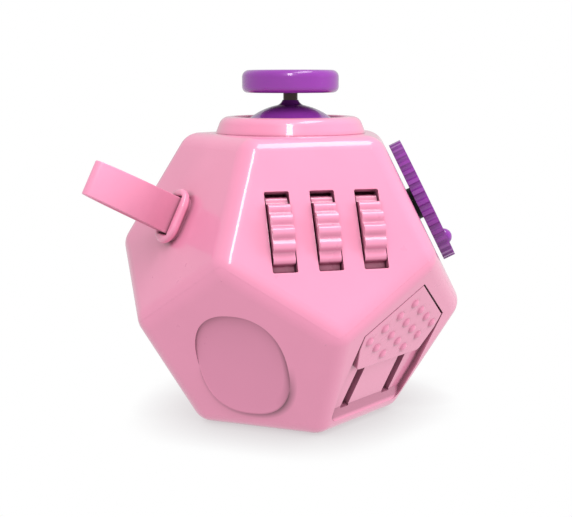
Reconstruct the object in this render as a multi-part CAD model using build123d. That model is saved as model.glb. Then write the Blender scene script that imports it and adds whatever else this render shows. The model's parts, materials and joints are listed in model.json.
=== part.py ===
from build123d import *
from dataclasses import dataclass, field
from math import atan, cos, degrees, pi, radians, sin, sqrt
import os

# A twelve-sided fidget toy: a hollow, rounded dodecahedron with one thing to play with on each face.
#
# The row frame has its origin at the middle of the face the toy rests on. +Z is up, and -Y looks at
# the face with three rollers. Every face also has its own frame, in which most of the model is drawn:
# its origin is the middle of the face, x runs across, y runs up the slope and z points out, so a
# depth inside the toy is a negative z. All sizes are in millimetres.

# ---- Body ----
EDGE = 20.0  # sharp edge of the dodecahedron
IN_RADIUS = EDGE / 2 * sqrt(5 / 2 + 11 / 10 * sqrt(5))  # centre to the middle of a face
RING_TILT = degrees(atan(1 / 2))  # how far the ring faces look above or below the horizon
FACE_STEP = 72  # degrees from one face of a ring to the next
WALL = 2.0
EDGE_ROUND = 3.5
INNER_ROUND = 1.6
LIP_HEIGHT = 1.2  # the lower shell's inner lip, which stands up inside the upper shell
LIP_THICKNESS = 0.9
FIT = 0.06  # gap between pieces that sit against each other
CENTRE = Vector(0, 0, IN_RADIUS)

# ---- Fasteners ----
SCREW_RADIUS = 0.75
SCREW_LENGTH = 3.2
SCREW_HEAD_RADIUS = 1.4
SCREW_HEAD = 1.0
PILOT_RADIUS = SCREW_RADIUS + 0.03
BOSS_RADIUS = 1.9
CLOSING_SCREW_RADIUS = 1.0
CLOSING_SCREW_LENGTH = 8.0
CLOSING_HEAD_RADIUS = 1.7
CLOSING_HEAD = 1.2
POST_CIRCLE = 6.0  # the three closing posts stand on this radius
POST_RADIUS = 2.1
POST_ANGLES = (90, 210, 330)

# ---- Joystick, on the top face ----
PIVOT = -5.9  # the height of the gimbal's two axes
DISC_RADIUS = 7.55
DISC_LOW, DISC_TOP = 6.2, 9.7
STEM_RADIUS = 1.12
DOME_RADIUS = 10.4
DOME_THICKNESS = 1.0
DOME_RIM_ANGLE = 68  # degrees from the stem to the dome's rim
COLLAR_BASE, COLLAR_SHOULDER, COLLAR_BORE = 11.72, 10.75, 8.65
COLLAR_HEIGHT = 2.55
WELL_MOUTH, WELL_RADIUS, WELL_STEP = 11.25, 10.8, -5.7
WELL_LOW_RADIUS, WELL_FLOOR, WELL_FLOOR_THICKNESS = 7.0, -11.5, 2.3
WELL_WALL = 1.2
GIMBAL_OUTER, GIMBAL_INNER, GIMBAL_HEIGHT = 4.9, 3.1, 2.2
HUB_RADIUS = 2.7
PIN_RADIUS = 0.6
PIN_BORE = PIN_RADIUS + 0.05
BASE_FLOOR = 1.2  # thickness of the joystick base's floor
BASE_SCREW_CIRCLE, BASE_SCREW_ANGLES = 4.9, (45, 135, 270)

# ---- Rollers ----
ROLLER_RADIUS = 7.0
ROLLER_WIDTH = 3.2
ROLLER_PITCH = 6.7
ROLLER_RIBS = 20
ROLLER_RIB_HEIGHT = 0.52
ROLLER_TURN = 4.0  # how far the rollers are turned as they sit
ROLLER_DEPTH = -5.2
ROLLER_Y = -0.6
ROLLER_NAMES = ("left_roller", "middle_roller", "right_roller")
SLOT_WIDTH, SLOT_LENGTH = 3.65, 12.1
AXLE_RADIUS = 0.8
AXLE_HALF = 10.0

# ---- Dial and knob, which share one click mechanism ----
DIAL_RADIUS = 10.0
DIAL_LOW, DIAL_TOP = 0.6, 2.5
DIAL_Y = 1.2
DIAL_SCALLOPS = 36
NUB_CIRCLE, NUB_RADIUS, NUB_HEIGHT = 6.8, 1.25, 0.9
KNOB_RADIUS = 5.6
KNOB_TOP = 6.0
NECK_RADIUS, NECK_BORE = 2.6, 2.7
SHAFT_RADIUS = 1.6
SHAFT_TOP, SHAFT_END = -2.6, -4.4
CLICKS = 12
RATCHET_RADIUS, RATCHET_NOTCH, RATCHET_NOTCH_CIRCLE = 4.5, 0.9, 4.8
LEAF = 0.3  # thickness of the flat click springs
LEAF_HALF = 6.6

# ---- Strap ----
STRAP_BASE_WIDTH, STRAP_TIP_WIDTH = 5.9, 5.2
STRAP_THICKNESS = 0.8
STRAP_REACH = 15.6  # from the face to the fold
STRAP_PINCH = 1.38  # half the loop's thickness where it leaves the grommet
STRAP_BULGE = 1.85  # half the loop's widest opening, measured to the outside
STRAP_FOLD = 1.1
STRAP_HINGE = 3.0  # height of the line it bends about
STRAP_PIN_RADIUS, STRAP_PIN_Z = 0.6, -3.2
STRAP_WRAP_WIDTH, STRAP_WRAP_THICKNESS = 4.0, 0.65  # where the strap goes round its pin
GROMMET_SLOT, GROMMET_SLOT_CORNER = (2.95, 6.1), 0.35  # width and length of the grommet's opening
GROMMET_NECK_WALL, GROMMET_RIM_WALL = 0.6, 1.3
GROMMET_RIM, GROMMET_HEIGHT = 0.5, 1.85  # the underside and the top of its rounded rim

# ---- Slider ----
POCKET_DEPTH = 0.9
POCKET_APEX, POCKET_SHOULDER, POCKET_WAIST, POCKET_FOOT = (0, 12.2), (10.5, 5.0), (10.3, -5.0), (8.9, -11.4)
POCKET_CORNER, POCKET_RAMP = 2.0, 1.9  # the rounding of its lower corners, and the length of its end slope
PAD_APEX, PAD_SHOULDER, PAD_SIDE, PAD_FOOT = (0, 11.95), (10.25, 4.85), (9.95, 2.3), (8.2, -1.65)
PAD_GAP = 0.08
TRACK_X, TRACK_WIDTH = 5.4, 1.95  # middle of each track slot, and its width
TRACK_TOP, TRACK_END = 3.5, -9.8
LEG_LENGTH = 5.0
PAD_NUB_PITCH_X, PAD_NUB_PITCH_Y, PAD_NUB_TOP_Y = 2.75, 1.72, 8.7
PAD_NUB_RADIUS, PAD_NUB_HEIGHT = 0.85, 0.45

# ---- Rocker switch ----
ROCKER_WIDTH, ROCKER_SWEEP = 7.4, 5.9  # its ends are arcs of this radius about the pin
ROCKER_PIVOT = -1.6
ROCKER_TILT = 10  # degrees to each side of the middle
FRAME_OUTER, FRAME_INNER, FRAME_RIM = (8.9, 13.4), (7.7, 12.2), (11.0, 15.2)
FRAME_TOP, FRAME_BOTTOM = 0.9, -6.4

# ---- Push buttons ----
BUTTON_SPOTS = ((-4.1, 4.1), (4.1, 4.1), (0, 0), (-4.1, -4.1), (4.1, -4.1))
BUTTON_Y = -0.4
BUTTON_RADIUS, BUTTON_FLANGE, BUTTON_TOP = 2.0, 2.6, 1.4
SHEET_SIZE = (12.2, 13.4)  # width and length of the dome sheet

# ---- Rolling ball ----
BALL_RADIUS, BALL_Z, BALL_MOUTH = 4.6, -2.6, 4.15
SLEEVE_INNER, SLEEVE_WALL, SLEEVE_END = 5.6, 1.0, -11.2

# ---- Spinner ----
BEARING_OUTER, BEARING_RACE_OUTER, BEARING_RACE_INNER, BEARING_BORE = 4.75, 3.95, 3.0, 1.9
BEARING_LOW, BEARING_TOP = 1.1, 3.5
BEARING_BALL, BEARING_BALLS = 0.6, 8
SPINNER_LOBE_CIRCLE, SPINNER_LOBE_RADIUS = 5.6, 4.2
SPINNER_LOW, SPINNER_TOP = 0.9, 3.7

# ---- Thumb dish and bottom pad ----
DISH_HALF_WIDTH, DISH_HALF_LENGTH, DISH_Y = 7.2, 9.05, -0.85
DISH_LEAN, DISH_TURN = 6.0, -15.0  # it sinks into the face toward its upper right and stands proud below
DISH_HOLLOW, DISH_RISE = 0.75, 0.05
DISH_FULLNESS = 2.35  # 2 is an ellipse, and more is squarer
BASE_RECESS_RADIUS, BASE_RECESS_DEPTH = 10.2, 1.5
BASE_NUB_PITCH, BASE_NUB_RADIUS = 2.7, 0.8
BASE_PAD_THICKNESS = 0.9


# ---------------------------------------------------------------- frames and small shapes

def face_plane(azimuth, elevation):
    """The frame of the face whose normal points at azimuth and elevation, in degrees."""
    az, el = radians(azimuth), radians(elevation)
    normal = Vector(cos(el) * cos(az), cos(el) * sin(az), sin(el))
    return Plane(origin=CENTRE + normal * IN_RADIUS, x_dir=(-sin(az), cos(az), 0), z_dir=normal)


UPPER_RING = ("rollers", "dial", "rocker", "buttons", "strap")
LOWER_RING = ("slider", "knob", "spinner", "ball", "dish")
FACES = {"top": face_plane(-90, 90), "base": face_plane(-90, -90)}
for step, name in enumerate(UPPER_RING):
    FACES[name] = face_plane(-90 + FACE_STEP * step, RING_TILT)
for step, name in enumerate(LOWER_RING):
    FACES[name] = face_plane(-90 + FACE_STEP * (step + 0.5), -RING_TILT)


def rod(radius, low, high, x=0, y=0):
    """A cylinder along z."""
    return Pos(x, y, (low + high) / 2) * Cylinder(radius, high - low)


def tube(outer, inner, low, high, x=0, y=0):
    """A ring along z."""
    return rod(outer, low, high, x, y) - rod(inner, low - 1, high + 1, x, y)


def block(width, length, low, high, x=0, y=0):
    """A box centred on x and y."""
    return Pos(x, y, (low + high) / 2) * Box(width, length, high - low)


def cross_rod(radius, half, y=0, z=0):
    """A cylinder along x."""
    return Pos(0, y, z) * Rot(0, 90, 0) * Cylinder(radius, 2 * half)


def long_slot(width, length, low, high):
    """A round-ended prism, long along y."""
    return extrude(Pos(0, 0, low) * Rot(0, 0, 90) * SlotOverall(length, width), high - low)


def prism(points, low, high):
    """A prism along z on a polygon."""
    return extrude(Pos(0, 0, low) * make_face(Polyline(*points, close=True)), high - low)


def turned(*edges):
    """A solid of revolution about z from edges drawn in the xz plane."""
    return revolve(make_face(Curve() + list(edges)), Axis.Z)


def turned_polygon(points):
    """A solid of revolution about z from (radius, z) points."""
    return revolve(make_face(Polyline(*[(r, 0, z) for r, z in points], close=True)), Axis.Z)


def around(count, start=0):
    """count rotations about z, evenly spaced."""
    return [Rot(0, 0, start + 360 / count * k) for k in range(count)]


def on_circle(radius, angles):
    """The points of a circle at these angles, in degrees."""
    return [(radius * cos(radians(a)), radius * sin(radians(a))) for a in angles]


def mirrored(points):
    """A polygon's right side, from its top point down, closed with its mirror image."""
    left = [(-x, y) for x, y in reversed(points) if x > 0]
    return list(points) + left


def coil(radius, wire, low, high, turns):
    """A coil spring along z."""
    path = Pos(0, 0, low + wire) * Helix((high - low - 2 * wire) / turns, high - low - 2 * wire, radius)
    return sweep(Plane(origin=path @ 0, z_dir=path % 0) * Circle(wire), path=path, is_frenet=True)


def screw(x, y, seat, out=1):
    """A small pan-head screw. Its head bears on the plane z = seat, and it points along out."""
    head = rod(SCREW_HEAD_RADIUS, -SCREW_HEAD, 0)
    head = fillet(head.edges().group_by(Axis.Z)[0], 0.35)
    cross = block(1.5, 0.36, -SCREW_HEAD, -0.5) + block(0.36, 1.5, -SCREW_HEAD, -0.5)
    shape = head - cross + rod(SCREW_RADIUS, 0, SCREW_LENGTH)
    return Pos(x, y, seat) * (shape if out > 0 else Rot(180, 0, 0) * shape)


@dataclass
class Module:
    """What one face holds, in that face's frame."""

    face: str
    pieces: dict = field(default_factory=dict)  # node name to solid
    add: object = None  # material joined to the shell
    cut: object = None  # material taken out of the shell
    screws: list = field(default_factory=list)  # small screws fixed in the case


# ---------------------------------------------------------------- shells

def dodecahedron(in_radius, rounding):
    """A rounded dodecahedron about the toy's centre."""
    body = Pos(*CENTRE) * Box(4 * in_radius, 4 * in_radius, 4 * in_radius)
    for plane in FACES.values():
        body = split(body, plane.offset(in_radius - IN_RADIUS), keep=Keep.BOTTOM)
    return fillet(body.edges(), rounding)


def upper_zone(lift=0):
    """Everything above the zigzag of edges between the two rings, seen from the centre."""
    reach = 3 * EDGE
    corner = EDGE * sqrt(3) * (1 + sqrt(5)) / 4  # centre to a corner
    rise = EDGE * 0.2628656  # height of the middle corners above and below the centre
    spread = sqrt(corner ** 2 - rise ** 2)
    stretch = reach / corner
    points = []
    for k in range(10):
        angle = radians(-90 + 36 * k)
        height = rise if k % 2 else -rise
        points.append(Vector(spread * cos(angle), spread * sin(angle), height) * stretch)
    apex = Vector(0, 0, reach)
    faces = []
    for k in range(10):
        near, far = points[k], points[(k + 1) % 10]
        faces.append(Face(Wire.make_polygon([Vector(0, 0, 0), near, far])))
        faces.append(Face(Wire.make_polygon([apex, far, near])))
    return Pos(*(CENTRE + Vector(0, 0, lift))) * Solid(Shell(faces))


def closing_posts():
    """Three long posts under the joystick's well, which reach down to the lower shell's bosses."""
    low = BASE_RECESS_DEPTH + 3.5 + FIT
    high = 2 * IN_RADIUS + WELL_FLOOR - WELL_FLOOR_THICKNESS + 1
    posts, pilots = [], []
    for x, y in on_circle(POST_CIRCLE, POST_ANGLES):
        posts.append(rod(POST_RADIUS, low, high, x, y))
        pilots.append(rod(CLOSING_SCREW_RADIUS + 0.03, low - 1, low + CLOSING_SCREW_LENGTH, x, y))
    return Part() + posts, Part() + pilots


def closing_screws():
    """The screws that hold the shells together, with their heads under the bottom pad."""
    seat = BASE_RECESS_DEPTH + 1.4
    one = rod(CLOSING_HEAD_RADIUS, seat - CLOSING_HEAD, seat)
    one = fillet(one.edges().group_by(Axis.Z)[0], 0.4)
    one += rod(CLOSING_SCREW_RADIUS, seat, seat + CLOSING_SCREW_LENGTH)
    one -= [turn * block(1.9, 0.45, seat - CLOSING_HEAD, seat - 0.6) for turn in around(4)]
    return Compound(children=[Pos(x, y, 0) * one for x, y in on_circle(POST_CIRCLE, POST_ANGLES)])


def shells(modules):
    """The two halves of the case, with every module's ribs, bosses and openings."""
    cavity = dodecahedron(IN_RADIUS - WALL, INNER_ROUND)
    skin = dodecahedron(IN_RADIUS, EDGE_ROUND) - cavity
    lip_skin = dodecahedron(IN_RADIUS - WALL + LIP_THICKNESS, INNER_ROUND + LIP_THICKNESS)
    lip_room = dodecahedron(IN_RADIUS - WALL + LIP_THICKNESS + FIT, INNER_ROUND + LIP_THICKNESS)
    above, raised, raised_room = upper_zone(), upper_zone(LIP_HEIGHT), upper_zone(LIP_HEIGHT + FIT)
    upper = (skin & above) - (lip_room - raised_room)
    lower = (skin - above) + ((lip_skin - cavity) & (above - raised))
    for module in modules:
        place = FACES[module.face].location
        half = "upper" if module.face == "top" or module.face in UPPER_RING else "lower"
        body = upper if half == "upper" else lower
        if module.add is not None:
            body += place * module.add
        if module.cut is not None:
            body -= place * module.cut
        if half == "upper":
            upper = body
        else:
            lower = body
    posts, pilots = closing_posts()
    return {"upper_shell": upper + posts - pilots, "lower_shell": lower}


# ---------------------------------------------------------------- top face: joystick

def joystick():
    """A thumb disc on a steel stem, in a two-axis gimbal under a domed cover."""
    well = turned_polygon([
        (0, WELL_FLOOR - WELL_FLOOR_THICKNESS),
        (WELL_LOW_RADIUS + WELL_WALL, WELL_FLOOR - WELL_FLOOR_THICKNESS),
        (WELL_LOW_RADIUS + WELL_WALL, WELL_STEP - WELL_WALL),
        (WELL_RADIUS + WELL_WALL, WELL_STEP - WELL_WALL),
        (WELL_RADIUS + WELL_WALL, -WALL / 2),
        (0, -WALL / 2),
    ])
    hollow = rod(WELL_MOUTH, -1.8, 1) + rod(WELL_RADIUS, WELL_STEP, 0) + rod(WELL_LOW_RADIUS, WELL_FLOOR, 0)
    seat = WELL_FLOOR + BASE_FLOOR
    pilots = [rod(PILOT_RADIUS, seat - SCREW_LENGTH, seat, x, y) for x, y in base_screw_spots()]

    collar = turned_polygon([
        (WELL_MOUTH - FIT, -1.8 + FIT), (WELL_MOUTH - FIT, 0.0), (COLLAR_BASE, 0.0), (COLLAR_BASE, 0.1),
        (COLLAR_SHOULDER, COLLAR_HEIGHT), (COLLAR_BORE, COLLAR_HEIGHT),
        (COLLAR_BORE + 0.2, COLLAR_HEIGHT - 0.8), (9.3, 1.0), (10.05, -1.8 + FIT),
    ])
    rims = collar.edges().filter_by(GeomType.CIRCLE).group_by(Axis.Z)[-1]
    collar = fillet(rims.sort_by(SortBy.RADIUS)[-1], 1.6)
    rims = collar.edges().filter_by(GeomType.CIRCLE).group_by(Axis.Z)[-1]
    collar = fillet(rims.sort_by(SortBy.RADIUS)[0], 0.3)

    return Module(
        "top",
        pieces={
            "joystick_collar": collar,
            "thumb_disc": thumb_disc(),
            "joystick_stem": rod(STEM_RADIUS, PIVOT - 0.9, DISC_LOW + 1.3),
            "joystick_dome": joystick_dome(),
            "joystick_hub": joystick_hub(),
            "joystick_base": joystick_base(),
            "joystick_spring": coil(1.75, 0.22, seat + FIT, PIVOT - HUB_RADIUS - FIT, 4),
            **gimbal(),
        },
        add=well,
        cut=Part() + [hollow, *pilots],
        screws=[screw(x, y, seat, out=-1) for x, y in base_screw_spots()],
    )


def base_screw_spots():
    """Where the joystick base is screwed down, clear of its ears and of the closing posts below."""
    return on_circle(BASE_SCREW_CIRCLE, BASE_SCREW_ANGLES)


def thumb_disc():
    """The round pad a thumb pushes: soft edges and a shallow dish on top."""
    disc = rod(DISC_RADIUS, DISC_LOW, DISC_TOP)
    disc = fillet(disc.edges().group_by(Axis.Z)[-1], 1.1)
    disc = fillet(disc.edges().filter_by(GeomType.CIRCLE).group_by(Axis.Z)[0], 0.9)
    dish_radius = 30.0
    disc -= Pos(0, 0, DISC_TOP - 0.55 + dish_radius) * Sphere(dish_radius)
    return disc - rod(STEM_RADIUS + 0.02, DISC_LOW - 1, DISC_LOW + 1.35)


def joystick_dome():
    """A spherical cap about the pivot, with a neck that grips the stem."""
    outer, inner = DOME_RADIUS, DOME_RADIUS - DOME_THICKNESS
    neck_radius, sleeve_radius, sleeve_low = 1.27, 2.4, 1.6
    flare = 2.15  # where the neck's flare meets the sphere
    flare_z = PIVOT + sqrt(outer ** 2 - flare ** 2)
    neck_top = flare_z + flare - neck_radius - 0.08
    rim, middle = radians(DOME_RIM_ANGLE), radians(40)
    bore = STEM_RADIUS + 0.02

    def on(radius, angle):
        return (radius * sin(angle), 0, PIVOT + radius * cos(angle))

    sleeve_z = PIVOT + sqrt(inner ** 2 - sleeve_radius ** 2)
    return turned(
        Line((bore, 0, sleeve_low), (bore, 0, neck_top)),
        Line((bore, 0, neck_top), (neck_radius, 0, neck_top)),
        TangentArc((flare, 0, flare_z), (neck_radius, 0, neck_top), tangent=(PIVOT - flare_z, 0, flare)),
        ThreePointArc((flare, 0, flare_z), on(outer, middle), on(outer, rim)),
        Line(on(outer, rim), on(inner, rim)),
        ThreePointArc(on(inner, rim), on(inner, middle), (sleeve_radius, 0, sleeve_z)),
        Line((sleeve_radius, 0, sleeve_z), (sleeve_radius, 0, sleeve_low)),
        Line((sleeve_radius, 0, sleeve_low), (bore, 0, sleeve_low)),
    )


def joystick_hub():
    """The ball on the stem's lower end, bored for the stem and for the two hub pins."""
    hub = Pos(0, 0, PIVOT) * Sphere(HUB_RADIUS)
    hub += rod(1.2, PIVOT - HUB_RADIUS - 0.5, PIVOT)
    hub -= rod(STEM_RADIUS + 0.02, PIVOT - 1.0, PIVOT + 5)
    return hub - Pos(0, 0, PIVOT) * Rot(0, 0, 90) * cross_rod(PIN_RADIUS + 0.01, 5)


def gimbal():
    """A ring that turns about x in the base, and carries the hub about y."""
    ring = tube(GIMBAL_OUTER, GIMBAL_INNER, PIVOT - GIMBAL_HEIGHT / 2, PIVOT + GIMBAL_HEIGHT / 2)
    ring -= Pos(0, 0, PIVOT) * Rot(0, 0, 90) * cross_rod(PIN_BORE, 6)
    ring -= cross_rod(PIN_RADIUS + 0.01, 6, z=PIVOT)
    gimbal_pin = Pos(4.95, 0, PIVOT) * Rot(0, 90, 0) * Cylinder(PIN_RADIUS, 3.1)
    hub_pin = Pos(3.0, 0, PIVOT) * Rot(0, 90, 0) * Cylinder(PIN_RADIUS, 3.4)
    return {
        "gimbal_ring": ring,
        "gimbal_pins": Compound(children=[Rot(0, 0, a) * gimbal_pin for a in (0, 180)]),
        "hub_pins": Compound(children=[Rot(0, 0, a) * hub_pin for a in (90, 270)]),
    }


def joystick_base():
    """The floor of the joystick, with two ears that hold the gimbal's pins."""
    floor = rod(WELL_LOW_RADIUS - FIT, WELL_FLOOR, WELL_FLOOR + BASE_FLOOR)
    floor += rod(1.2, WELL_FLOOR + 1, WELL_FLOOR + 1.9)
    ear = block(1.2, 4.0, WELL_FLOOR + 1, PIVOT + 1.2, 6.0)
    ear = fillet(ear.edges().filter_by(Axis.X).group_by(Axis.Z)[-1], 1.2)
    base = floor + ear + Rot(0, 0, 180) * ear
    base -= cross_rod(PIN_BORE, 8, z=PIVOT)
    return base - [rod(SCREW_RADIUS + 0.1, 2 * WELL_FLOOR, 0, x, y) for x, y in base_screw_spots()]


# ---------------------------------------------------------------- upper ring

def rollers():
    """Three ribbed rollers on one steel axle, which snaps into ribs behind the face."""
    spots = [ROLLER_PITCH * k for k in (-1, 0, 1)]
    openings = [block(SLOT_WIDTH, SLOT_LENGTH, -3, 1, x, ROLLER_Y) for x in spots]
    openings = [fillet(o.edges().filter_by(Axis.Z), 0.25) for o in openings]
    room = Part() + [Pos(x, 0, 0) * cross_rod(ROLLER_RADIUS + 0.25, SLOT_WIDTH / 2, ROLLER_Y, ROLLER_DEPTH)
                     for x in spots]
    ribs = [block(2.4, 4.8, -6.4, -1, sign * ROLLER_PITCH / 2, ROLLER_Y) for sign in (-1, 1)]
    ribs += [block(1.4, 4.8, -6.4, -1, sign * 9.4, ROLLER_Y) for sign in (-1, 1)]
    seat = cross_rod(AXLE_RADIUS + 0.03, AXLE_HALF + 0.3, ROLLER_Y, ROLLER_DEPTH)
    mouth = block(2 * AXLE_HALF + 4, 2 * AXLE_RADIUS - 0.25, -8, ROLLER_DEPTH, 0, ROLLER_Y)
    pieces = {name: Pos(x, ROLLER_Y, ROLLER_DEPTH) * roller() for name, x in zip(ROLLER_NAMES, spots)}
    pieces["roller_axle"] = cross_rod(AXLE_RADIUS, AXLE_HALF, ROLLER_Y, ROLLER_DEPTH)
    return Module("rollers", pieces, add=Part() + ribs, cut=Part() + [*openings, room, seat, mouth])


def roller():
    """One roller about x: rounded ribs with narrower grooves between them, and a dished web on each side."""
    points, steps = [], 8
    for k in range(steps * ROLLER_RIBS):
        groove = 0.5 - 0.5 * cos(2 * pi * k / steps)
        radius = ROLLER_RADIUS - ROLLER_RIB_HEIGHT * groove ** 1.5
        angle = 2 * pi * k / (steps * ROLLER_RIBS) + radians(ROLLER_TURN)
        points.append((radius * cos(angle), radius * sin(angle)))
    profile = make_face(Spline(*points, periodic=True))
    wheel = extrude(Pos(0, 0, -ROLLER_WIDTH / 2) * profile, ROLLER_WIDTH)
    web = tube(5.2, 2.0, ROLLER_WIDTH / 2 - 0.5, ROLLER_WIDTH / 2 + 1)
    wheel = wheel - web - mirror(web, Plane.XY) - rod(AXLE_RADIUS + 0.05, -9, 9)
    return Rot(0, 90, 0) * wheel


def click_parts(prefix, y):
    """A notched wheel on the shaft, the leaf spring that clicks in it, and the screw that holds it."""
    wheel = Circle(RATCHET_RADIUS)
    wheel -= [turn * Pos(0, -RATCHET_NOTCH_CIRCLE) * Circle(RATCHET_NOTCH) for turn in around(CLICKS)]
    wheel -= Circle(SHAFT_RADIUS + 0.02)
    leaf_y = -RATCHET_NOTCH_CIRCLE - 0.35
    leaf = Pos(0, leaf_y) * Rectangle(2 * LEAF_HALF, LEAF)
    leaf += Pos(0, -RATCHET_NOTCH_CIRCLE) * Circle(RATCHET_NOTCH - 0.15)
    hold = block(1.8, 1.9, -4.3, -1, LEAF_HALF - 0.8, leaf_y)
    hold -= block(LEAF_HALF, LEAF + 0.06, -5, -WALL, LEAF_HALF / 2 + 1.9, leaf_y)
    low, high = SHAFT_END + 0.15, SHAFT_TOP - 0.1
    pieces = {
        f"{prefix}_ratchet": Pos(0, y, low) * extrude(wheel, high - low),
        f"{prefix}_click_spring": Pos(0, y, low + 0.1) * extrude(leaf, high - low - 0.2),
        f"{prefix}_screw": Pos(0, y, 0) * screw(0, 0, SHAFT_END),
    }
    holds = Pos(0, y, 0) * (hold + mirror(hold, Plane.YZ))
    return pieces, holds, rod(NECK_BORE, -3, 1, 0, y)


def click_shaft(y, top):
    """The stepped shaft of the dial or knob, bored from inside for its screw."""
    shaft = rod(NECK_RADIUS, SHAFT_TOP, top, 0, y) + rod(SHAFT_RADIUS, SHAFT_END, SHAFT_TOP, 0, y)
    return shaft - rod(PILOT_RADIUS, SHAFT_END - 1, SHAFT_END + SCREW_LENGTH + 0.2, 0, y)


def dial():
    """A thin scalloped disc with one finger nub, on a dark hub that clicks as it turns."""
    pieces, holds, bore = click_parts("dial", DIAL_Y)
    profile = Circle(DIAL_RADIUS)
    profile -= [turn * Pos(DIAL_RADIUS + 0.25, 0) * Circle(0.62) for turn in around(DIAL_SCALLOPS)]
    disc = extrude(Pos(0, 0, DIAL_LOW) * profile, DIAL_TOP - DIAL_LOW)
    disc -= tube(8.9, 3.4, DIAL_TOP - 0.3, DIAL_TOP + 1)
    nub_sphere = (NUB_RADIUS ** 2 + NUB_HEIGHT ** 2) / (2 * NUB_HEIGHT)
    nub = Pos(0, -NUB_CIRCLE, DIAL_TOP + NUB_HEIGHT - nub_sphere) * Sphere(nub_sphere)
    nub = nub & rod(NUB_RADIUS + 0.2, DIAL_TOP - 0.6, DIAL_TOP + 2, 0, -NUB_CIRCLE)
    disc += nub
    disc -= rod(SHAFT_RADIUS + 0.02, -1, DIAL_TOP - 0.7)
    hub = click_shaft(DIAL_Y, DIAL_LOW) + rod(SHAFT_RADIUS, 0, DIAL_TOP - 0.75, 0, DIAL_Y)
    pieces["dial_disc"] = Pos(0, DIAL_Y, 0) * disc
    pieces["dial_hub"] = hub
    return Module("dial", pieces, add=holds, cut=bore)


def rocker():
    """A light-switch rocker that snaps over a leaf spring, in a rimmed frame."""
    frame = block(*FRAME_RIM, FIT / 2, FRAME_TOP)
    frame = fillet(frame.edges().filter_by(Axis.Z), 1.4)
    frame = fillet(frame.edges().group_by(Axis.Z)[-1], 0.4)
    frame += block(*FRAME_OUTER, FRAME_BOTTOM, FRAME_TOP - 0.5)
    frame -= block(*FRAME_INNER, FRAME_BOTTOM - 1, FRAME_TOP + 1)
    pin_half = FRAME_OUTER[0] / 2 - 0.05
    frame -= cross_rod(PIN_RADIUS + 0.01, pin_half + 1, z=ROCKER_PIVOT)
    leaf_z = FRAME_BOTTOM + 0.8
    frame -= block(3.2, FRAME_OUTER[1] - 0.3, leaf_z - 0.03, leaf_z + LEAF + 0.03)
    leaf = block(3.0, FRAME_OUTER[1] - 0.4, leaf_z, leaf_z + LEAF)
    leaf += cross_rod(0.4, 1.5, z=leaf_z + LEAF / 2)
    opening = block(FRAME_OUTER[0] + 2 * FIT, FRAME_OUTER[1] + 2 * FIT, -3, 1)
    return Module(
        "rocker",
        pieces={
            "rocker_frame": frame,
            "rocker_paddle": rocker_paddle(),
            "rocker_pin": cross_rod(PIN_RADIUS, pin_half, z=ROCKER_PIVOT),
            "rocker_snap_spring": leaf,
        },
        cut=opening,
    )


def rocker_paddle():
    """The switch paddle, tipped to one side. Its ends are arcs about the pin, so they never bind."""
    end, ridge, belly = 2.6, 1.3, 3.1
    side = [(0, ridge - ROCKER_PIVOT), (6.4, end - ROCKER_PIVOT), (6.4, 1.7), (2.2, -1.2), (1.0, -1.3)]
    profile = make_face(Polyline(*mirrored(side), close=True)) & Circle(ROCKER_SWEEP)
    profile += Pos(0, -belly / 2) * Rectangle(1.6, belly - 0.6)
    profile += Pos(0, -belly + 0.5) * Circle(0.8)
    paddle = extrude(Plane.YZ * profile, ROCKER_WIDTH / 2, both=True)
    paddle = fillet(paddle.edges().filter_by(Axis.X).group_by(Axis.Z)[-1], 0.5)
    paddle -= cross_rod(PIN_BORE, 6)
    return Pos(0, 0, ROCKER_PIVOT) * Rot(ROCKER_TILT, 0, 0) * paddle


def buttons():
    """Five push buttons on a rubber dome sheet, held by a screwed backplate."""
    sheet_low, sheet_top, plate_low = -5.5, -4.9, -6.7
    flange_low, flange_top = -3.3, -2.3
    cap = rod(BUTTON_RADIUS, flange_low, BUTTON_TOP) + rod(BUTTON_FLANGE, flange_low, flange_top)
    cap = fillet(cap.edges().group_by(Axis.Z)[-1], 0.7)
    sheet = extrude(Pos(0, 0, sheet_low) * RectangleRounded(*SHEET_SIZE, 3.0), sheet_top - sheet_low)
    plate = extrude(Pos(0, 0, plate_low) * RectangleRounded(*SHEET_SIZE, 3.0), sheet_low - plate_low)
    screw_x = SHEET_SIZE[0] / 2 + BOSS_RADIUS + 0.1
    plate += extrude(Pos(0, 0, plate_low) * SlotOverall(2 * screw_x + 4.0, 4.0), sheet_low - plate_low)
    openings, pieces = [], {}
    for number, (x, y) in enumerate(BUTTON_SPOTS, start=1):
        pieces[f"push_button_{number}"] = Pos(x, y + BUTTON_Y, 0) * cap
        openings.append(rod(BUTTON_RADIUS + 0.12, -3, 1, x, y))
        dome_height = flange_low - FIT - sheet_top
        sheet += Pos(x, y, sheet_top + dome_height / 2) * Cone(1.7, 1.1, dome_height)
        sheet -= rod(0.9, sheet_low - 1, flange_low - 0.6, x, y)
    bosses, screws = [], []
    for x in (-screw_x, screw_x):
        bosses.append(rod(BOSS_RADIUS, sheet_low + FIT, -1, x) - rod(PILOT_RADIUS, -7, -2.4, x))
        plate -= rod(SCREW_RADIUS + 0.1, -8, 0, x)
        screws.append(screw(x, BUTTON_Y, plate_low))
    shift = Pos(0, BUTTON_Y, 0)
    pieces["button_dome_sheet"] = shift * sheet
    pieces["button_backplate"] = shift * plate
    return Module("buttons", pieces, shift * (Part() + bosses), shift * (Part() + openings), screws)


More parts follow.
